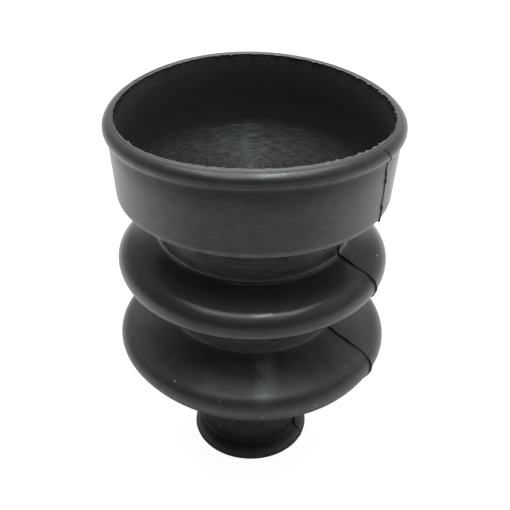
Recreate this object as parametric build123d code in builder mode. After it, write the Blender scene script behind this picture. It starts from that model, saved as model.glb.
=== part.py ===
from build123d import *
from math import acos, cos, degrees, radians, sin
import os

# Rubber bellows boot, moulded in one piece: a shallow cup with a beaded rim,
# two folds with rounded crests and a narrow beaded neck. Sizes are in millimetres.
# The boot stands on the end of its neck, with the origin at the middle of
# that end and +Z up through the cup. A place is (radius, height), and a
# slope is the angle of the surface's outward normal above the horizontal.

wall = 2.7

# Heights, from the end of the neck up: each one starts where the last one ended
fold_2_height = 38.8
fold_pitch = 25.1
cup_rise = 21.1
cup_height = 21.9

# Cup
cup_bore_radius = 34.2
cup_floor_thickness = 1.7
cup_corner_width = 1.4
cup_corner_height = 2.0
cup_draft = 3.4
cup_edge_round = 1.0
web_hole_radius = 2.0
web_corner_fillet = 2.0

# Rim bead
rim_wall = 3.8
rim_bead_radius = 2.15
rim_overhang = 0.95
rim_crease = 0.6
lip_round = 0.4

# First fold, with the root above it
root_1_radius = 25.6
root_1_top_fillet = 2.6
root_1_fillet = 1.5
fold_1_depth = 11.0
fold_1_shoulder_round = 5.4
fold_1_crest_round = 4.2
fold_1_belly_round = 3.8
fold_1_top_fall = 21.5
fold_1_underside_fall = 18.0

# Second fold, with the root above it; its underside is a larger round
root_2_radius = 23.2
root_2_top_fillet = 2.0
root_2_fillet = 0.7
fold_2_depth = 14.3
fold_2_shoulder_round = 4.6
fold_2_crest_round = 4.2
fold_2_belly_round = 16.4
fold_2_top_fall = 20.0
fold_2_underside_fall = 20.0

# The slopes between which the crest of a fold keeps its own round
crest_first_slope = 30.0
crest_last_slope = -25.0

# Neck
neck_radius = 14.1
neck_top_fillet = 3.0
neck_bead_overhang = 2.7
neck_bead_radius = 2.2
neck_bead_crease = 2.5
neck_mouth_round = 0.6

# Flash left on the line where the two halves of the mould met
flash_height = 0.5
flash_thickness = 0.4
flash_angle = -30.0

fold_1_height = fold_2_height + fold_pitch
cup_underside = fold_1_height + cup_rise
total_height = cup_underside + cup_height
cup_floor = cup_underside + cup_floor_thickness
web_underside = cup_floor - wall
rim_radius = cup_bore_radius + rim_wall


def direction(slope):
    """The unit normal of a surface with this slope, as (radius, height)."""
    return cos(radians(slope)), sin(radians(slope))


def step(point, distance, slope):
    """The place reached from a point by going this far along a slope."""
    across, up = direction(slope)
    return point[0] + distance * across, point[1] + distance * up


# A round is (centre, radius, first slope, last slope). A bulging round has a
# positive radius, and a hollow one, at a root or a crease, a negative radius.

def cup_rounds():
    """The bead of the rim, the crease under it and the lower edge of the cup."""
    bead = (rim_radius - rim_bead_radius, total_height - rim_bead_radius)
    inside_wall = rim_bead_radius - rim_overhang
    reach = rim_bead_radius + rim_crease
    crease_slope = -cup_draft - degrees(acos((rim_crease + inside_wall) / reach))
    across, up = direction(-cup_draft)
    edge_height = cup_underside + cup_edge_round
    edge_radius = bead[0] + (inside_wall - cup_edge_round - up * (edge_height - bead[1])) / across
    return [
        (bead, rim_bead_radius, 90, crease_slope),
        (step(bead, reach, crease_slope), -rim_crease, crease_slope, -cup_draft),
        ((edge_radius, edge_height), cup_edge_round, -cup_draft, -90),
    ]


def root_centre(root_radius, fillet_radius, centre, size, slope):
    """The centre of the hollow between the wall of a root and a flank of this
    slope that runs on from a round of this size."""
    across, up = direction(slope)
    radius = root_radius + fillet_radius
    return radius, centre[1] + (size + fillet_radius - (radius - centre[0]) * across) / up


def fold_rounds(radius, height, shoulder_round, crest_round, belly_round, top_fall, underside_fall):
    """The shoulder, crest and belly of a fold."""
    crest = (radius - crest_round, height)
    shoulder = step(crest, crest_round - shoulder_round, crest_first_slope)
    belly = step(crest, crest_round - belly_round, crest_last_slope)
    return [
        (shoulder, shoulder_round, 90 - top_fall, crest_first_slope),
        (crest, crest_round, crest_first_slope, crest_last_slope),
        (belly, belly_round, crest_last_slope, underside_fall - 90),
    ]


def root_rounds(radius, top_fillet, fillet_radius, above, below):
    """The hollows at the two ends of a root, from the round above it to the round below it."""
    top_slope = above[3]
    bottom_slope = below[2]
    return [
        (root_centre(radius, top_fillet, above[0], above[1], top_slope), -top_fillet, top_slope, 0),
        (root_centre(radius, fillet_radius, below[0], below[1], bottom_slope), -fillet_radius, 0, bottom_slope),
    ]


def neck_rounds(above):
    """The hollow at the top of the neck, the crease above its bead, and the bead."""
    bead = (neck_radius + neck_bead_overhang - neck_bead_radius, neck_bead_radius)
    reach = neck_bead_radius + neck_bead_crease
    crease_slope = degrees(acos((neck_radius + neck_bead_crease - bead[0]) / reach))
    return [
        (root_centre(neck_radius, neck_top_fillet, above[0], above[1], above[3]), -neck_top_fillet, above[3], 0),
        (step(bead, reach, crease_slope), -neck_bead_crease, 0, crease_slope),
        (bead, neck_bead_radius, crease_slope, -90),
    ]


def trace(rounds, inset, first_point, last_point):
    """Draws the rounds, moved into the rubber by the inset, and joins them with lines."""
    previous = first_point
    for centre, radius, first_slope, last_slope in rounds:
        size = abs(radius - inset)
        first_angle = first_slope if radius > 0 else first_slope + 180
        first = step(centre, size, first_angle)
        last = step(centre, size, first_angle + last_slope - first_slope)
        if (Vector(*first) - Vector(*previous)).length > 0.001:
            Line(previous, first)
        CenterArc(centre, size, first_angle, last_slope - first_slope)
        previous = last
    Line(previous, last_point)


cup = cup_rounds()
fold_1 = fold_rounds(
    root_1_radius + fold_1_depth, fold_1_height, fold_1_shoulder_round,
    fold_1_crest_round, fold_1_belly_round, fold_1_top_fall, fold_1_underside_fall,
)
fold_2 = fold_rounds(
    root_2_radius + fold_2_depth, fold_2_height, fold_2_shoulder_round,
    fold_2_crest_round, fold_2_belly_round, fold_2_top_fall, fold_2_underside_fall,
)
root_1 = root_rounds(root_1_radius, root_1_top_fillet, root_1_fillet, cup[-1], fold_1[0])
root_2 = root_rounds(root_2_radius, root_2_top_fillet, root_2_fillet, fold_1[-1], fold_2[0])
neck = neck_rounds(fold_2[-1])

outer_rounds = cup + root_1 + fold_1 + root_2 + fold_2 + neck
cavity_rounds = root_1[1:] + fold_1 + root_2 + fold_2 + neck[:1]
parting_plane = Plane(
    origin=(0, 0, 0),
    x_dir=(cos(radians(flash_angle)), sin(radians(flash_angle)), 0),
    z_dir=(sin(radians(flash_angle)), -cos(radians(flash_angle)), 0),
)

with BuildPart() as bellows_boot:
    # Outer form, still filled
    with BuildSketch(Plane.XZ):
        with BuildLine():
            trace(outer_rounds, 0, (0, total_height), (0, 0))
            Line((0, 0), (0, total_height))
        make_face()
    revolve(axis=Axis.Z)

    # Flash, proud of the outer form on both sides of the mould
    with BuildSketch(parting_plane):
        with BuildLine():
            trace(outer_rounds, -flash_height, (0, total_height + flash_height), (0, -flash_height))
            Line((0, -flash_height), (0, total_height + flash_height))
        make_face()
        Rectangle(3 * rim_radius, total_height, align=(Align.CENTER, Align.MIN), mode=Mode.INTERSECT)
        mirror(about=Plane.YZ)
    extrude(amount=flash_thickness / 2, both=True)

    # Inside of the cup
    with BuildSketch(Plane.XZ):
        with BuildLine():
            Polyline(
                (0, total_height + flash_height),
                (0, cup_floor),
                (cup_bore_radius - cup_corner_width, cup_floor),
                (cup_bore_radius, cup_floor + cup_corner_height),
                (cup_bore_radius, total_height - lip_round),
            )
            CenterArc((cup_bore_radius + lip_round, total_height - lip_round), lip_round, 180, -90)
            Polyline(
                (cup_bore_radius + lip_round, total_height),
                (cup_bore_radius + lip_round, total_height + flash_height),
                (0, total_height + flash_height),
            )
        make_face()
    revolve(axis=Axis.Z, mode=Mode.SUBTRACT)

    # Inside of the folds and of the neck, a wall's thickness within the outer form
    with BuildSketch(Plane.XZ):
        with BuildLine():
            cavity_radius = root_1_radius - wall
            corner_centre = (cavity_radius - web_corner_fillet, web_underside - web_corner_fillet)
            Line((0, web_underside), (corner_centre[0], web_underside))
            CenterArc(corner_centre, web_corner_fillet, 90, -90)
            trace(cavity_rounds, wall, (cavity_radius, corner_centre[1]), (neck_radius - wall, 0))
            Polyline((neck_radius - wall, 0), (0, 0), (0, web_underside))
        make_face()
    revolve(axis=Axis.Z, mode=Mode.SUBTRACT)

    # Hole through the web between the cup and the folds
    with BuildSketch(Plane.XY.offset(web_underside)):
        Circle(web_hole_radius)
    extrude(amount=wall, mode=Mode.SUBTRACT)

    # Rounded mouth of the neck
    neck_mouth = bellows_boot.edges().filter_by(GeomType.CIRCLE).group_by(Axis.Z)[0].sort_by(SortBy.RADIUS)[0]
    fillet(neck_mouth, neck_mouth_round)

bellows_boot.part.label = "bellows_boot"

os.makedirs("parts", exist_ok=True)
export_step(bellows_boot.part, "parts/bellows_boot.step")
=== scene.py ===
from math import acos, cos, degrees, pi, radians, sin

import bpy
import numpy as np
from mathutils import Matrix


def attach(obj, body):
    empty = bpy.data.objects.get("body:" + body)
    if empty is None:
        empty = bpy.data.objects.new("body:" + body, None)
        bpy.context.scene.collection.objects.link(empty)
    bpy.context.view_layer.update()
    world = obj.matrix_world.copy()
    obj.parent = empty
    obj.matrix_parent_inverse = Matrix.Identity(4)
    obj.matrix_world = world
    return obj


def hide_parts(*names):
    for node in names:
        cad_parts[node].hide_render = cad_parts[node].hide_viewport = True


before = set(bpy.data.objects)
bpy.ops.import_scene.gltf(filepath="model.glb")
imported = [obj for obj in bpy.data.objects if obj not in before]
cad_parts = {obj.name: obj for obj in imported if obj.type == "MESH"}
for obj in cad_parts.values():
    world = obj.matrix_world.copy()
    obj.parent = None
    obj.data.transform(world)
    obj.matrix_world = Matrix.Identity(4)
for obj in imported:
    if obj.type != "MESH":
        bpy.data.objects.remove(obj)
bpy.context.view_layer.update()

MM = 0.001

# The rubber bellows boot as it looks: one skin over the whole section, bent a little out of
# round as the real moulding is, and the torn edge round the mouth of its cup.
# The boot stands on the end of its neck, with +Z up through the cup and its front
# towards -Y. Sizes are in millimetres, and a place in the section is (radius, height).

# Sizes of the boot, as in the part's source
wall = 2.7
fold_2_height = 38.8
fold_pitch = 25.1
cup_rise = 21.1
cup_height = 21.9
cup_bore_radius = 34.2
cup_floor_thickness = 1.7
cup_corner_width = 1.4
cup_draft = 3.4
cup_edge_round = 1.0
web_hole_radius = 2.0
web_corner_fillet = 2.0
rim_wall = 3.8
rim_bead_radius = 2.15
rim_overhang = 0.95
rim_crease = 0.6
lip_round = 0.4
root_1_radius = 25.6
root_1_top_fillet = 2.6
root_1_fillet = 1.5
fold_1_depth = 11.0
fold_1_shoulder_round = 5.4
fold_1_crest_round = 4.2
fold_1_belly_round = 3.8
fold_1_top_fall = 21.5
fold_1_underside_fall = 18.0
root_2_radius = 23.2
root_2_top_fillet = 2.0
root_2_fillet = 0.7
fold_2_depth = 14.3
fold_2_shoulder_round = 4.6
fold_2_crest_round = 4.2
fold_2_belly_round = 16.4
fold_2_top_fall = 20.0
fold_2_underside_fall = 20.0
crest_first_slope = 30.0
crest_last_slope = -25.0
neck_radius = 14.1
neck_top_fillet = 3.0
neck_bead_overhang = 2.7
neck_bead_radius = 2.2
neck_bead_crease = 2.5
neck_mouth_round = 0.6
flash_angle = -30.0

fold_1_height = fold_2_height + fold_pitch
cup_underside = fold_1_height + cup_rise
total_height = cup_underside + cup_height
cup_floor = cup_underside + cup_floor_thickness
web_underside = cup_floor - wall
rim_radius = cup_bore_radius + rim_wall

# The corner of the cup's floor runs further up the wall here than in the solid
cup_corner_height = 10.0
cup_corner_points = 8

# Distances between the points of the section, and the largest turn between them in degrees
outer_arc_spacing = 0.75
outer_line_spacing = 1.1
inner_spacing = 2.2
web_corner_spacing = 1.5
neck_mouth_spacing = 0.5
lip_spacing = 0.2
crisp_edge_spacing = 0.25
smallest_spacing = 0.0001
largest_turn = 12.0


# A slope is the angle of a surface's outward normal above level, in degrees. A round is
# (centre, radius, first slope, last slope), and a hollow one has a negative radius.

def direction(slope):
    """The outward normal of a surface with this slope."""
    return cos(radians(slope)), sin(radians(slope))


def step(point, distance, slope):
    """The place at this distance from a point, along the normal of this slope."""
    across, up = direction(slope)
    return point[0] + distance * across, point[1] + distance * up


def cup_rounds():
    """The bead of the rim, the crease under it and the lower edge of the cup."""
    bead = (rim_radius - rim_bead_radius, total_height - rim_bead_radius)
    inside_wall = rim_bead_radius - rim_overhang
    reach = rim_bead_radius + rim_crease
    crease_slope = -cup_draft - degrees(acos((rim_crease + inside_wall) / reach))
    across, up = direction(-cup_draft)
    edge_height = cup_underside + cup_edge_round
    edge_radius = bead[0] + (inside_wall - cup_edge_round - up * (edge_height - bead[1])) / across
    return [
        (bead, rim_bead_radius, 90, crease_slope),
        (step(bead, reach, crease_slope), -rim_crease, crease_slope, -cup_draft),
        ((edge_radius, edge_height), cup_edge_round, -cup_draft, -90),
    ]


def root_centre(root_radius, fillet, centre, size, slope):
    """The centre of the hollow between a root and the flank that leaves a round at this slope."""
    across, up = direction(slope)
    radius = root_radius + fillet
    return radius, centre[1] + (size + fillet - (radius - centre[0]) * across) / up


def fold_rounds(radius, height, shoulder_round, crest_round, belly_round, top_fall, underside_fall):
    """The shoulder, crest and belly of a fold."""
    crest = (radius - crest_round, height)
    shoulder = step(crest, crest_round - shoulder_round, crest_first_slope)
    belly = step(crest, crest_round - belly_round, crest_last_slope)
    return [
        (shoulder, shoulder_round, 90 - top_fall, crest_first_slope),
        (crest, crest_round, crest_first_slope, crest_last_slope),
        (belly, belly_round, crest_last_slope, underside_fall - 90),
    ]


def root_rounds(radius, top_fillet, fillet, above, below):
    """The hollows at the two ends of a root, between the round above it and the one below it."""
    top_slope = above[3]
    bottom_slope = below[2]
    return [
        (root_centre(radius, top_fillet, above[0], above[1], top_slope), -top_fillet, top_slope, 0),
        (root_centre(radius, fillet, below[0], below[1], bottom_slope), -fillet, 0, bottom_slope),
    ]


def neck_rounds(above):
    """The hollow at the top of the neck, the crease above its bead, and the bead."""
    bead = (neck_radius + neck_bead_overhang - neck_bead_radius, neck_bead_radius)
    reach = neck_bead_radius + neck_bead_crease
    crease_slope = degrees(acos((neck_radius + neck_bead_crease - bead[0]) / reach))
    top = root_centre(neck_radius, neck_top_fillet, above[0], above[1], above[3])
    return [
        (top, -neck_top_fillet, above[3], 0),
        (step(bead, reach, crease_slope), -neck_bead_crease, 0, crease_slope),
        (bead, neck_bead_radius, crease_slope, -90),
    ]


def arc_points(centre, radius, first_angle, last_angle, spacing):
    """Points along an arc, with about this spacing and no more than the largest turn."""
    sweep = abs(last_angle - first_angle)
    count = max(2, int(round(max(radius * radians(sweep) / spacing, sweep / largest_turn))))
    return [step(centre, radius, a) for a in np.linspace(first_angle, last_angle, count + 1)]


def trace_points(rounds, inset, spacing):
    """The outline through the rounds as points, moved into the rubber by the inset."""
    points = []
    for centre, radius, first_slope, last_slope in rounds:
        first_angle = first_slope if radius > 0 else first_slope + 180
        last_angle = first_angle + last_slope - first_slope
        points += arc_points(centre, abs(radius - inset), first_angle, last_angle, spacing)
    return points


def with_lines(points, spacing):
    """The same outline with points added along its longer lines, up to its last point."""
    filled = []
    for first, last in zip(points[:-1], points[1:]):
        across = last[0] - first[0]
        up = last[1] - first[1]
        gap = np.hypot(across, up)
        if gap < smallest_spacing:
            continue
        count = max(1, int(round(gap / spacing)))
        filled += [(first[0] + across * t, first[1] + up * t) for t in np.arange(count) / count]
    return filled


def crisp_edge(before, corner, after):
    """A corner with a point close to it on each side, so that it shades as an edge."""
    points = []
    for other in (before, after):
        gap = np.hypot(other[0] - corner[0], other[1] - corner[1])
        points.append(tuple(corner[k] + (other[k] - corner[k]) * crisp_edge_spacing / gap for k in (0, 1)))
    return [points[0], corner, points[1]]


# The whole section as one closed outline: outside from the lip down, then inside from the neck up
cup = cup_rounds()
fold_1 = fold_rounds(
    root_1_radius + fold_1_depth, fold_1_height, fold_1_shoulder_round,
    fold_1_crest_round, fold_1_belly_round, fold_1_top_fall, fold_1_underside_fall,
)
fold_2 = fold_rounds(
    root_2_radius + fold_2_depth, fold_2_height, fold_2_shoulder_round,
    fold_2_crest_round, fold_2_belly_round, fold_2_top_fall, fold_2_underside_fall,
)
root_1 = root_rounds(root_1_radius, root_1_top_fillet, root_1_fillet, cup[-1], fold_1[0])
root_2 = root_rounds(root_2_radius, root_2_top_fillet, root_2_fillet, fold_1[-1], fold_2[0])
neck = neck_rounds(fold_2[-1])

outer_rounds = cup + root_1 + fold_1 + root_2 + fold_2 + neck
cavity_rounds = root_1[1:] + fold_1 + root_2 + fold_2 + neck[:1]
outside = with_lines(trace_points(outer_rounds, 0, outer_arc_spacing), outer_line_spacing)
neck_end = trace_points(neck[-1:], 0, outer_arc_spacing)[-1]

neck_mouth = (neck_radius - wall + neck_mouth_round, neck_mouth_round)
web_corner = (root_1_radius - wall - web_corner_fillet, web_underside - web_corner_fillet)
cavity = (
    arc_points(neck_mouth, neck_mouth_round, -90, -180, neck_mouth_spacing)
    + trace_points(cavity_rounds, wall, inner_spacing)[::-1]
    + arc_points(web_corner, web_corner_fillet, 0, 90, web_corner_spacing)
)

corner_foot = (cup_bore_radius - cup_corner_width, cup_floor)
lower_wall = [
    (cup_bore_radius - cup_corner_width * (1 - t) ** 2, cup_floor + cup_corner_height * t)
    for t in np.linspace(0, 1, cup_corner_points + 1)[1:]
]
lip = (cup_bore_radius + lip_round, total_height - lip_round)
cup_inside = (
    [(web_hole_radius, web_underside), (web_hole_radius, cup_floor)]
    + crisp_edge((0, cup_floor), corner_foot, lower_wall[0])
    + lower_wall
    + arc_points(lip, lip_round, 180, 90, lip_spacing)
)
inside = with_lines([neck_end] + cavity + cup_inside + [outside[0]], inner_spacing)
outline = np.array(outside + inside)

# Columns round the axis, closer together at the two parting lines: each is an angle in radians,
# and for the columns of a line also an offset from it in millimetres, which is never 0
line_offsets = [-1.7, -1.0, -0.6, -0.32, -0.16, -0.08, 0.08, 0.16, 0.32, 0.6, 1.0, 1.7]
first_turn_past_line = 5.2
columns_between_lines = 130
column_angles = []
column_offsets = []
for line_angle in (flash_angle, flash_angle + 180):
    column_angles += [radians(line_angle)] * len(line_offsets)
    column_offsets += line_offsets
    for turn in np.linspace(first_turn_past_line, 180 - first_turn_past_line, columns_between_lines):
        column_angles.append(radians(line_angle + turn))
        column_offsets.append(0.0)
column_angles = np.array(column_angles)
column_offsets = np.array(column_offsets)
at_line = column_offsets != 0
by_front_line = np.arange(len(column_angles)) < len(column_angles) // 2

# Rows of the skin, one for each point of the outline. How far along the outline a row is
# counts from the lip down, and below 0 on the inside.
lip_band = 0.3
lip_width = 1.2
radius = outline[:, 0][:, None]
height = outline[:, 1][:, None]
on_outside = np.arange(len(outline))[:, None] < len(outside)
is_outer = (on_outside | (height > total_height - lip_band)).astype(float)
along = np.concatenate([[0], np.cumsum(np.hypot(*np.diff(outline, axis=0).T))])[:, None]
along = np.where(on_outside, along, along - along.max() - lip_width)


def by_height(*stops):
    """A value for each row by its height, through stops of (height, value)."""
    return np.interp(height, *zip(*stops))


def wave(value, *terms):
    """A sum of sine waves: each term is (cycles per unit, size, start)."""
    return sum(size * np.sin(2 * pi * cycles * value + start) for cycles, size, start in terms)


def round_wave(turn, *terms):
    """A sum of waves round the axis: each term is (cycles, size as cosine, size as sine)."""
    return sum(a * np.cos(cycles * turn) + b * np.sin(cycles * turn) for cycles, a, b in terms)


def toward(turn, side):
    """1 on this side of the axis, falling to 0 on the other side. Both angles are in radians."""
    return ((1 + np.cos(turn - side)) / 2) ** 2


# Where the parting lines run, in degrees from their mean, and a small shake in them.
# Closer to the axis than the narrowest radius, the columns of a line draw together.
narrowest_line_radius = 20.0
shake_size = 0.3
front_turn = by_height(
    (0, 6), (22, 6), (30, 2), (36, 0.5), (43, 0), (52, 4), (55, 6), (58, 3), (64, 1.5), (70, 0), (75, -0.5),
    (83, 0), (86, 0.2), (93, -0.6), (100, -2), (104, -2.3), (105.5, -4.2), (total_height, -6),
)
back_turn = wave(along, (0.017, 1.4, 0.4), (0.05, 0.5, 1.9))
shake = shake_size * wave(along, (0.083, 0.6, 1.9), (0.21, 0.5, 0.2), (0.47, 0.4, 1.2))
angle = column_angles + column_offsets / np.maximum(radius, narrowest_line_radius)
angle = angle + is_outer * np.radians(
    front_turn * toward(column_angles, radians(flash_angle))
    + back_turn * toward(column_angles, radians(flash_angle + 180))
    + shake * np.exp(-(column_offsets ** 2)) * at_line
)


def mouth_rise(turn):
    """How far up the mouth of the cup is bent. Its left and right sides sag."""
    return round_wave(turn, (1, 0.12, 0.28), (2, -0.95, -0.27)) - 0.25 * toward(turn, pi / 2)


def mouth_oval(turn):
    """How far out the mouth of the cup is bent."""
    return round_wave(turn, (2, 0.38, -0.09))


def mouth_trim(turn):
    """How far outside the bore the mouth is trimmed, a little oval."""
    return round_wave(turn, (0, 0.55, 0), (2, 0.5, 0))


# How the boot is bent out of round: up, outward, and aside, where a shift to the left is below 0.
# The front left is an angle in radians, and where a part is bent is a share by height.
front_left = -2.3
foot_flare = 0.2
fold_1_shift = -0.15
fold_2_shift = 0.27
foot_shift = -0.15
on_cup = np.clip((height - cup_underside) / cup_height, 0, 1)
on_fold_1 = by_height((56, 0), (62, 1), (72, 1), (80, 0))
under_fold_2 = by_height((21.5, 0), (25, 1), (30, 1), (37, 0.4), (42, 0))
at_foot = by_height((0, 1), (1.2, 0.8), (3.0, 0))
rise = (
    on_cup * mouth_rise(angle)
    + on_fold_1 * round_wave(angle, (0, 0.1, 0), (2, 0.45, 0))
    + under_fold_2 * (round_wave(angle, (1, -0.55, 0), (2, 0.1, 0)) + 0.6 * toward(angle, front_left))
)
outward = on_cup * mouth_oval(angle) + foot_flare * at_foot
aside = fold_2_shift * under_fold_2 + fold_1_shift * on_fold_1 + foot_shift * at_foot

# The inner wall of the cup leans out to its trimmed edge
lean_height = 12.0
inner_wall_end = rim_radius - rim_bead_radius - 0.01
on_inner_wall = ~on_outside & (radius < inner_wall_end)
lean = np.clip((height - total_height + lean_height) / (lean_height - 2 * lip_band), 0, 1) ** 2
outward = outward + lean * on_inner_wall * mouth_trim(angle)

# The fin of flash on each parting line: its height along the outline, with a few nibs on
# the front one. A nib is (place along the outline, height).
mean_fin_height = 0.44
back_fin_start = 14.7
nib_width = 0.45
nibs = [(9.0, 0.35), (11.4, 0.3), (19.2, 0.35), (23.4, 0.45)]
along_fin = along + np.where(by_front_line, 0, back_fin_start)
fin_height = mean_fin_height + wave(along_fin, (0.11, 0.07, 0.0), (0.37, 0.05, 1.0), (0.9, 0.05, 2.0))
for place, size in nibs:
    fin_height = fin_height + size * np.exp(-(((along - place) / nib_width) ** 2)) * by_front_line
fin_height = fin_height * by_height(
    (0, 0.15), (3, 0.25), (5.5, 1), (82, 1), (87, 0.5), (101, 0.5), (104, 0.45), (total_height, 0.25),
)
fin_height = fin_height * np.where(by_front_line, 1, by_height((100, 1), (103, 0.4)))
fin_height = fin_height * by_height((0.2, 0), (0.8, 1))
fin_shape = np.interp(np.abs(column_offsets), [0.08, 0.16, 0.32], [1.0, 0.12, 0.0])
fin = is_outer * at_line * fin_shape * fin_height

# The points of the skin, bent, with the fin standing out along the outline's normal
tangent = np.roll(outline, -1, axis=0) - np.roll(outline, 1, axis=0)
tangent /= np.hypot(*tangent.T)[:, None]
skin_radius = radius + outward - fin * tangent[:, 1][:, None]
skin_height = height + rise + fin * tangent[:, 0][:, None]
skin_points = np.stack([
    skin_radius * np.cos(angle) + aside, skin_radius * np.sin(angle), skin_height,
], axis=-1) * MM
seam = is_outer * at_line * np.interp(np.abs(column_offsets), [0.16, 0.32], [1.0, 0.0])


def ring_faces(rows, columns):
    """The faces of a closed ring of rows and columns, each row following the outline anticlockwise."""
    index = np.arange(rows * columns).reshape(rows, columns)
    next_column = np.roll(index, -1, 1)
    corners = [index, next_column, np.roll(next_column, -1, 0), np.roll(index, -1, 0)]
    return np.stack(corners, axis=-1).reshape(-1, 4)


def solid_skin(name, points, faces, heights, seam):
    """A closed mesh that keeps two values of each point for the material: its height before
    the bending, and its nearness to the seam."""
    mesh = bpy.data.meshes.new(name)
    mesh.from_pydata(points.reshape(-1, 3).tolist(), [], faces.tolist())
    for key, values in (("height", heights), ("seam", seam)):
        attribute = mesh.attributes.new(key, "FLOAT", "POINT")
        attribute.data.foreach_set("value", values.ravel().astype(np.float32))
    mesh.update()
    for polygon in mesh.polygons:
        polygon.use_smooth = True
    thing = bpy.data.objects.new(name, mesh)
    bpy.context.scene.collection.objects.link(thing)
    return thing


# The torn edge round the mouth. A sliver is (degrees round the axis, size, width).
torn_seed = 11
torn_columns = 1500
nick_count = 170
slivers = [
    (-148.5, 0.65, 0.7), (-146.0, 0.5, 0.5), (-61, 0.45, 1.2), (-57, 0.55, 0.9), (-52, 0.4, 1.4),
    (-46, 0.6, 1.1), (-42, 0.45, 0.8), (-37, 0.5, 1.0), (-33, 0.75, 0.5), (-96, 0.35, 1.5), (-112, 0.4, 0.9),
]


def tooth(turn, place, width, top):
    """A tooth of the torn edge at this place: 0 beside it, and 1 on it where its top is cut flat."""
    away = np.abs((turn - place + pi) % (2 * pi) - pi) * cup_bore_radius
    return np.clip(top - away / width, 0, 1)


def torn_edge():
    """The thin edge that the trimming left round the mouth of the cup, rougher at the back.
    The tear is how far it reaches into the mouth, and the lift how far it stands up."""
    chance = np.random.default_rng(torn_seed)
    turn = np.linspace(0, 2 * pi, torn_columns, endpoint=False)
    rough_side = 1 + 1.6 * np.clip(0.3 + np.sin(turn + 0.5), 0, 1)
    tear = 0.10 + 0.05 * np.sin(11 * turn + 1) + 0.04 * np.sin(37 * turn) + 0.05 * chance.random(torn_columns)
    places = 2 * pi * chance.random(nick_count)
    sizes = 0.08 + 0.22 * chance.random(nick_count) ** 2
    widths = 0.12 + 0.5 * chance.random(nick_count)
    for place, size, width in zip(places, sizes, widths):
        tear = np.maximum(tear, rough_side * size * tooth(turn, place, width, 1.4) + 0.08)
    lift = 0.05 + 0.05 * chance.random(torn_columns)
    for place, size, width in slivers:
        sliver = size * tooth(turn, radians(place), width, 1.2)
        tear = np.maximum(tear, sliver)
        lift = np.maximum(lift, 0.2 * sliver)
    edge = cup_bore_radius + mouth_trim(turn) + mouth_oval(turn)
    top = total_height + mouth_rise(turn)
    # From inside the rubber of the lip, over the torn edge and back under it
    section = [
        (edge + 0.75, top - 0.05),
        (edge + 0.35, top + 0.04 + 0.3 * lift),
        (edge + 0.1, top + lift),
        (edge - tear, top + lift * 1.2),
        (edge - tear + 0.03, top - 0.07 + lift),
        (edge + 0.1, top - 0.4),
        (edge + 0.75, top - 0.45),
    ]
    points = np.stack([np.stack([r * np.cos(turn), r * np.sin(turn), z], axis=-1) for r, z in section]) * MM
    heights = np.full(points.shape[:2], total_height)
    return solid_skin("torn_edge", points, ring_faces(*heights.shape), heights, np.zeros(heights.shape))


# The two pieces that are shown in place of the solid
boot = solid_skin("boot_skin", skin_points, ring_faces(*angle.shape)[:, ::-1], height + 0 * angle, seam)
edge_strip = torn_edge()


class Nodes:
    """Adds and links nodes in one tree."""

    def __init__(self, tree):
        self.tree = tree

    def add(self, kind, values=None, **settings):
        """A node with these settings. Its inputs take values, or links from sockets."""
        node = self.tree.nodes.new(kind)
        for key, value in settings.items():
            setattr(node, key, value)
        for key, value in (values or {}).items():
            if isinstance(value, bpy.types.NodeSocket):
                self.tree.links.new(value, node.inputs[key])
            else:
                node.inputs[key].default_value = value
        return node

    def math(self, operation, first, second=None):
        values = {0: first}
        if second is not None:
            values[1] = second
        return self.add("ShaderNodeMath", values, operation=operation).outputs[0]

    def product(self, first, *others):
        for other in others:
            first = self.math("MULTIPLY", first, other)
        return first

    def total(self, first, *others):
        for other in others:
            first = self.math("ADD", first, other)
        return first

    def rest(self, value):
        """What the value leaves of 1."""
        return self.math("SUBTRACT", 1, value)

    def length(self, x, y):
        return self.math("SQRT", self.total(self.math("POWER", x, 2), self.math("POWER", y, 2)))

    def span(self, value, low, high, first, last):
        """Goes from the first result to the last one as the value goes from low to high."""
        return self.add("ShaderNodeMapRange", {
            "Value": value, "From Min": low, "From Max": high, "To Min": first, "To Max": last,
        }).outputs[0]

    def profile(self, height_here, stops):
        """A value that changes with the height, through stops of (height, value)."""
        node = self.add("ShaderNodeFloatCurve", {"Value": self.math("DIVIDE", height_here, total_height)})
        curve = node.mapping.curves[0]
        for _ in stops[:-2]:
            curve.points.new(0.5, 0.5)
        for point, (at, value) in zip(curve.points, stops):
            point.location = (at / total_height, value)
            point.handle_type = "VECTOR"
        node.mapping.update()
        return node.outputs[0]

    def ramp(self, factor, stops):
        """A colour that changes with the factor, between two stops of (factor, colour)."""
        node = self.add("ShaderNodeValToRGB", {"Fac": factor})
        for element, (place, colour) in zip(node.color_ramp.elements, stops):
            element.position = place
            element.color = (*colour, 1)
        return node.outputs["Color"]

    def blend(self, factor, first, second):
        """The first colour where the factor is 0, and the second where it is 1."""
        node = self.add("ShaderNodeMix", data_type="RGBA")
        # The node has sockets for each type of data: 6 and 7 take colours, and 2 gives one
        for number, value in ((0, factor), (6, first), (7, second)):
            self.tree.links.new(value, node.inputs[number])
        return node.outputs[2]

    def noise(self, vector, scale, detail, roughness):
        return self.add("ShaderNodeTexNoise", {
            "Vector": vector, "Scale": scale, "Detail": detail, "Roughness": roughness,
        }).outputs["Fac"]

    def combine(self, first, second):
        return self.add("ShaderNodeCombineXYZ", {"X": first, "Y": second}).outputs[0]

    def separate(self, vector):
        return self.add("ShaderNodeSeparateXYZ", {"Vector": vector}).outputs

    def attribute(self, name):
        return self.add("ShaderNodeAttribute", attribute_name=name).outputs["Fac"]


def new_material(name):
    material = bpy.data.materials.new(name)
    material.use_nodes = True
    material.node_tree.nodes.clear()
    return material


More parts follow.
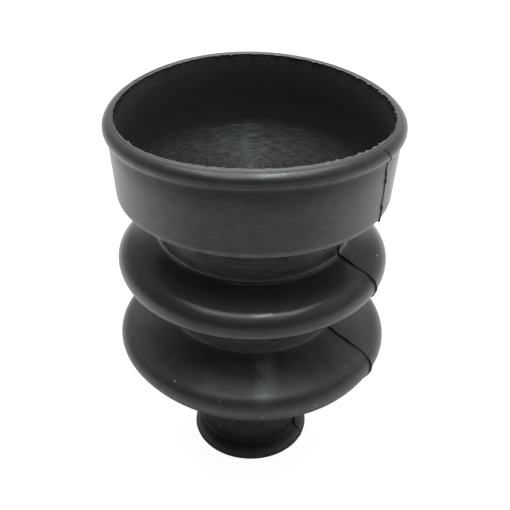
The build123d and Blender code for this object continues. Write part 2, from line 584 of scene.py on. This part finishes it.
# How the rubber changes with the height before the bending, as stops of (height, value)
# Painted highlights: light lines at the foot of the second root and on the lower edge of the cup
painted_edge_highlight_stops = [
    (0, 0), (46.7, 0), (46.9, 0.9), (47.3, 0.9), (47.6, 0), (84.9, 0), (85.4, 1), (86.2, 1), (86.8, 0),
    (total_height, 0),
]
# Painted light: a lighter tone on the neck's bead and on the tops of both folds where the light falls short,
# up to a painted highlight line at the foot of the first root
painted_light_stops = [
    (0, 0.35), (3.4, 0.35), (4.2, 0), (37, 0), (41, 0.4), (45, 1), (47.5, 1), (48, 0.2), (62, 0), (67, 0.1),
    (70, 0.55), (72, 0.6), (72.6, 0), (total_height, 0),
]
# Painted light inside the cup: a touch in the corner of its floor against the shade there, and lighter up
# towards the mouth
inner_painted_light_stops = [
    (0, 0), (86.6, 0), (86.9, 0.25), (87.3, 0.15), (88, 0), (95, 0.12), (101, 0.3), (total_height, 0.75),
]
streak_stops = [
    (0, 0.2), (46, 0.2), (48, 1), (56, 1), (60, 0.2), (72, 0.2), (73, 1), (83, 1), (85, 0.3),
    (total_height, 0.3),
]
speck_stops = [
    (0, 0.003), (22, 0.02), (27, 0.2), (33, 0.28), (36, 0.22), (38.5, 0.03), (44, 0.003), (102, 0.003),
    (103, 0), (total_height, 0),
]
# Painted highlight: the streak down the front of the second fold, by height; the streak is also made shinier
highlight_streak_stops = [
    (0, 0), (39.5, 0), (41, 0.15), (42.3, 0.25), (43.2, 0.3), (44.2, 0.5), (45, 1.0), (45.6, 1.0),
    (46.2, 0.6), (46.8, 0.3), (47.3, 0), (total_height, 0),
]
roughness_stops = [
    (0, 0.36), (30, 0.36), (38, 0.33), (41.5, 0.33), (43, 0.38), (54, 0.42), (60, 0.27), (63, 0.27),
    (65, 0.32), (66.8, 0.3), (67.6, 0.21), (75, 0.25), (88, 0.34), (103, 0.29), (total_height, 0.29),
]
lay_stops = [
    (0, 0.7), (36, 0.3), (41, 0.2), (42.5, 0.9), (48, 0.8), (54, 0.7), (60, 0.35), (72, 0.35), (86, 0.7),
    (103, 0.5), (total_height, 0.5),
]
gloss_stops = [
    (0, 1.0), (3.6, 0.8), (4.6, 0.25), (6.5, 0.2), (9, 0.6), (38, 0.7), (40, 0.45), (41.5, 0.33),
    (43.5, 0.58), (47, 1.0), (56, 1.0), (58, 1.0), (61, 0.9), (65, 0.66), (66.5, 0.46), (69, 0.45),
    (71, 0.7), (73, 0.36), (84.6, 0.36), (85.2, 0.7), (96, 0.7), (99, 0.55), (101, 0.4), (102.7, 0.34),
    (103.0, 0.62), (105.6, 0.62), (106.3, 0.42), (total_height, 0.42),
]
shade_stops = [
    (0, 0), (86.7, 0), (87.6, 0.2), (89, 0.65), (94, 0.6), (101, 0), (total_height, 0),
]

# Where the inside of the cup and its turned floor fade out: by height, and outward at the lip and wall
inside_fade = (cup_floor - 0.9, cup_floor - 0.8)
lip_fade = (35.2, 35.5)
floor_fade = (cup_floor + 0.08, cup_floor + 0.6)
floor_edge_fade = (33.2, 33.4)

# The painted highlight streak down the front of the second fold, in metres: its place along X, and its fade
# to each side
highlight_streak_place = 0.0038
highlight_streak_fade = (0.0004, 0.0037)


class BlackRubber(Nodes):
    """Satin black rubber. Its x and y are in metres, and the way out from the axis in millimetres."""

    def __init__(self, tree):
        super().__init__(tree)
        self.place = self.add("ShaderNodeTexCoord").outputs["Object"]
        self.x, self.y, _ = self.separate(self.place)
        self.out = self.product(self.length(self.x, self.y), 1 / MM)
        self.height = self.attribute("height")
        self.seam = self.attribute("seam")
        self.find_cup()
        self.find_grain()
        self.find_marks()

    def find_cup(self):
        """The inside of the cup, and its turned floor."""
        above_underside = self.span(self.height, *inside_fade, 0, 1)
        at_floor = self.span(self.height, *floor_fade, 1, 0)
        self.inside = self.product(self.span(self.out, *lip_fade, 1, 0), above_underside)
        self.floor = self.product(self.inside, at_floor, self.span(self.out, *floor_edge_fade, 1, 0))

    def find_grain(self):
        """Grain of three sizes, marks of turning on the floor, and streaks round the roots."""
        turn = self.math("ARCTAN2", self.y, self.x)
        # The grain is moved off the origin, where all octaves of a noise cross at once
        move = self.add("ShaderNodeMapping", {"Vector": self.place, "Location": (0.137, 0.211, 0.093)})
        off_origin = move.outputs[0]
        self.broad = self.noise(off_origin, 60.0, 4.0, 0.6)
        self.patch = self.noise(off_origin, 330.0, 3.0, 0.6)
        self.fine = self.noise(off_origin, 900.0, 3.0, 0.6)
        ring_place = self.combine(self.product(self.out, 1.9), self.product(turn, 6))
        self.rings = self.noise(ring_place, 1.0, 3.0, 0.65)
        streak_place = self.combine(self.product(self.height, 1.3), self.product(turn, 5))
        uneven = self.span(self.noise(streak_place, 1.0, 3.0, 0.6), 0.3, 0.7, -1, 1)
        self.streaks = self.product(uneven, self.profile(self.height, streak_stops))

    def find_marks(self):
        """Dust specks, most of them under the second fold, and the painted highlight streak on its front."""
        cells = self.add("ShaderNodeTexVoronoi", {"Vector": self.place, "Scale": 1000.0}).outputs
        chance = self.separate(cells["Color"])["X"]
        chosen = self.math("LESS_THAN", chance, self.profile(self.height, speck_stops))
        near = self.span(cells["Distance"], 0.17, 0.25, 1, 0)
        self.speck = self.product(chosen, self.rest(self.inside), near)

        aside = self.math("ABSOLUTE", self.math("SUBTRACT", self.x, highlight_streak_place))
        in_front = self.math("LESS_THAN", self.y, 0.0)
        uneven = self.span(self.patch, 0.35, 0.65, 0.75, 1.0)
        strength = self.profile(self.height, highlight_streak_stops)
        self.highlight_streak = self.product(self.span(aside, *highlight_streak_fade, 1, 0), in_front, uneven, strength)

    def colour(self):
        skin = self.ramp(self.broad, [(0.35, (0.032, 0.0315, 0.028)), (0.65, (0.0285, 0.031, 0.0305))])
        # A lighter tone for the painted light
        painted_light_tone = self.ramp(self.patch, [(0.3, (0.07, 0.071, 0.067)), (0.7, (0.085, 0.088, 0.084))])
        # The tone of the painted highlight lines
        painted_edge_highlight = self.ramp(self.patch, [(0.3, (0.11, 0.112, 0.108)), (0.7, (0.17, 0.173, 0.168))])
        turned = self.ramp(self.rings, [(0.35, (0.007, 0.0073, 0.007)), (0.65, (0.028, 0.030, 0.0285))])
        # The tone of the painted highlight streak
        painted_streak_highlight = self.ramp(self.patch, [(0.3, (0.150, 0.166, 0.170)), (0.7, (0.200, 0.222, 0.228))])
        # Painted shade: the fin along the seam darkened as if in its own shadow
        dark = self.ramp(self.patch, [(0.3, (0.006, 0.006, 0.006)), (0.7, (0.012, 0.012, 0.012))])
        pale = self.ramp(self.patch, [(0.3, (0.6, 0.6, 0.58)), (0.7, (0.8, 0.8, 0.78))])
        painted_light = self.profile(self.height, painted_light_stops)
        inner_painted_light = self.profile(self.height, inner_painted_light_stops)
        edge_highlight_share = self.profile(self.height, painted_edge_highlight_stops)
        result = skin
        for factor, layer in (
            (self.product(painted_light, 0.7), painted_light_tone),
            (self.product(self.inside, inner_painted_light), painted_light_tone),
            (self.product(edge_highlight_share, self.rest(self.inside)), painted_edge_highlight),
            (self.floor, turned),
            (self.highlight_streak, painted_streak_highlight),
            (self.product(self.seam, 0.7), dark),
            (self.speck, pale),
        ):
            result = self.blend(factor, result, layer)
        return result

    def roughness(self):
        return self.total(
            self.profile(self.height, roughness_stops),
            self.span(self.broad, 0.3, 0.7, -0.03, 0.04),
            self.span(self.patch, 0.3, 0.7, -0.02, 0.02),
            self.product(self.floor, 0.05),
        )

    def gloss(self):
        turned = self.span(self.rings, 0.35, 0.65, 0.88, 0.6)
        shade = self.profile(self.height, shade_stops)
        return self.product(
            self.profile(self.height, gloss_stops),
            self.total(1, self.product(self.streaks, 0.4)),
            self.span(self.patch, 0.3, 0.7, 0.85, 1.15),
            self.rest(self.product(self.floor, turned)),
            self.rest(self.speck),
            self.rest(self.product(shade, self.inside, self.rest(self.floor))),
            self.total(0.95, self.product(self.highlight_streak, 1.2)),
            self.rest(self.product(self.seam, 0.75)),
        )

    def lay(self):
        """How strongly the shine is drawn out across the marks of turning."""
        return self.math("MAXIMUM", self.profile(self.height, lay_stops), self.product(self.floor, 0.95))

    def relief(self):
        raised = self.total(
            self.fine, self.product(self.rings, self.floor, 4.0), self.product(self.streaks, 0.4),
        )
        bump = self.add("ShaderNodeBump", {"Height": raised, "Strength": 0.12, "Distance": 0.0002})
        return bump.outputs["Normal"]

    def join(self):
        """The shader with all that was found, and the material's output."""
        round_axis = self.add("ShaderNodeTangent", direction_type="RADIAL", axis="Z")
        shader = self.add("ShaderNodeBsdfPrincipled", {
            "Base Color": self.colour(),
            "Metallic": self.speck,
            "Roughness": self.roughness(),
            "Specular IOR Level": self.gloss(),
            "Specular Tint": (1.0, 1.0, 0.955, 1),
            "Anisotropic": self.lay(),
            "Anisotropic Rotation": 0.25,
            "Tangent": round_axis.outputs[0],
            "Normal": self.relief(),
        })
        self.add("ShaderNodeOutputMaterial", {"Surface": shader.outputs[0]})


rubber = new_material("black_rubber_skin")
BlackRubber(rubber.node_tree).join()
for piece in (boot, edge_strip):
    piece.data.materials.append(rubber)
    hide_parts("bellows_boot")
    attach(piece, "root")


def pale_ground():
    """White to the camera. What the rubber reflects of it is a painted pool of light: painted shadow
    at the foot, and dimmer in front. Lengths are in metres."""
    material = new_material("pale_ground")
    n = Nodes(material.node_tree)
    path = n.add("ShaderNodeLightPath").outputs
    x, y, _ = n.separate(n.add("ShaderNodeTexCoord").outputs["Object"])
    out = n.length(x, y)
    ahead = n.math("DIVIDE", n.product(y, -1), n.math("MAXIMUM", out, 0.001))
    # Painted shadow at the foot and a painted pool of light round it, both seen only in reflections
    at_foot = n.span(out, 0.025, 0.06, 0.15, 1.0)
    near = n.span(out, 0.07, 0.12, 1.0, 0.0)
    brightness = n.total(n.product(near, 0.8), n.product(n.rest(near), n.span(ahead, 0.2, 0.85, 1.2, 0.5)))
    mirrored = n.math("MAXIMUM", path["Is Glossy Ray"], path["Is Transmission Ray"])
    strength = n.total(
        n.product(path["Is Camera Ray"], 0.95), n.product(mirrored, at_foot, brightness, 0.85),
    )
    own = n.add("ShaderNodeBsdfDiffuse", {"Color": (0.2, 0.2, 0.2, 1)})
    glow = n.add("ShaderNodeEmission", {"Color": (1, 1, 1, 1), "Strength": strength})
    both = n.add("ShaderNodeAddShader", {0: own.outputs[0], 1: glow.outputs[0]})
    n.add("ShaderNodeOutputMaterial", {"Surface": both.outputs[0]})
    return material


def floor_sheet(reach):
    """A square floor that reaches this many metres to each side."""
    sheet = bpy.data.meshes.new("floor")
    corners = [(-reach, -reach, 0), (reach, -reach, 0), (reach, reach, 0), (-reach, reach, 0)]
    sheet.from_pydata(corners, [], [(0, 1, 2, 3)])
    sheet.materials.append(pale_ground())
    thing = bpy.data.objects.new("floor", sheet)
    bpy.context.scene.collection.objects.link(thing)


floor_sheet(3)


def pose(across, up, back, place):
    """The matrix of a lamp or camera, from its three axes and its place in metres."""
    return Matrix([[across[k], up[k], back[k], place[k]] for k in range(3)] + [[0, 0, 0, 1]])


def lamp(name, place, aim, width, depth, radiance, colour):
    """A flat lamp that faces the aim. Its place, aim and size are in metres."""
    data = bpy.data.lights.new(name, "AREA")
    data.shape = "RECTANGLE"
    data.size = width
    data.size_y = depth
    data.energy = radiance * pi * width * depth
    data.color = colour
    thing = bpy.data.objects.new(name, data)
    back = np.array(place) - np.array(aim)
    back = back / np.linalg.norm(back)
    across = np.cross((0, 1, 0), back)
    across = across / np.linalg.norm(across)
    thing.matrix_world = pose(across, np.cross(back, across), back, place)
    bpy.context.scene.collection.objects.link(thing)


# Soft light: a large lamp overhead, a dim one in front, and a narrow cooler one to the right
lamp("overhead", (0.0, 0.235, 1.1), (0, 0.225, 0.1), 1.0, 1.3, 4.0, (1, 1, 1))
lamp("front_edge", (0.0, -0.58, 1.06), (0, 0, 0.06), 0.95, 0.33, 0.9, (1, 1, 1))
lamp("window", (0.08, 0.1, 1.05), (0.05, 0.1, 0.1), 0.07, 0.8, 24.0, (0.74, 0.93, 1.0))


def room():
    """A room that is dark behind the camera and pale behind the boot, and white to the camera.
    Its brightness changes with the direction that is looked in."""
    world = bpy.data.worlds.new("room")
    world.use_nodes = True
    n = Nodes(world.node_tree)
    x, y, z = n.separate(n.add("ShaderNodeTexCoord").outputs["Generated"])
    behind = n.total(n.span(y, -0.5, 0.8, 0.06, 0.95), n.span(y, 0.8, 0.95, 0.0, 0.8))
    right = n.span(x, 0.2, 0.9, 0.0, 0.3)
    low = n.span(z, 0.0, 0.5, 1.0, 0.4)
    high_right = n.product(n.span(x, 0.35, 0.65, 0.0, 0.35), n.span(z, 0.45, 0.65, 0.0, 1.0))
    level = n.total(n.product(n.total(behind, right), low), high_right)
    shown = n.math("MAXIMUM", level, n.add("ShaderNodeLightPath").outputs["Is Camera Ray"])
    background = world.node_tree.nodes["Background"]
    background.inputs["Color"].default_value = (1, 1, 1, 1)
    world.node_tree.links.new(shown, background.inputs["Strength"])
    bpy.context.scene.world = world


room()

# Camera at the photograph's angle and framing, aimed at a target on the boot's axis.
# Its distance is in millimetres, and its roll in radians.
picture_px = 510
picture_centre_px = 254.5
focal_px = 932.3
target_px = (252.385, 253.52)
target_below_top = 43.84
distance = 257.6
elevation = radians(33.32)
roll = 0.0132

camera = bpy.data.cameras.new("camera")
camera.sensor_fit = "HORIZONTAL"
camera.sensor_width = 36.0
camera.lens = focal_px / picture_px * camera.sensor_width
camera.shift_x = (picture_centre_px - target_px[0]) / picture_px
camera.shift_y = (target_px[1] - picture_centre_px) / picture_px
camera.clip_start = 0.01
camera.clip_end = 20

back = np.array([0, -cos(elevation), sin(elevation)])
level_up = np.array([0, sin(elevation), cos(elevation)])
level_across = np.array([1, 0, 0])
across = cos(roll) * level_across + sin(roll) * level_up
up = cos(roll) * level_up - sin(roll) * level_across
target = np.array([0, 0, total_height - target_below_top])
eye = bpy.data.objects.new("camera", camera)
eye.matrix_world = pose(across, up, back, (target + distance * back) * MM)
bpy.context.scene.collection.objects.link(eye)
bpy.context.scene.camera = eye

bpy.context.scene.view_settings.view_transform = "Standard"
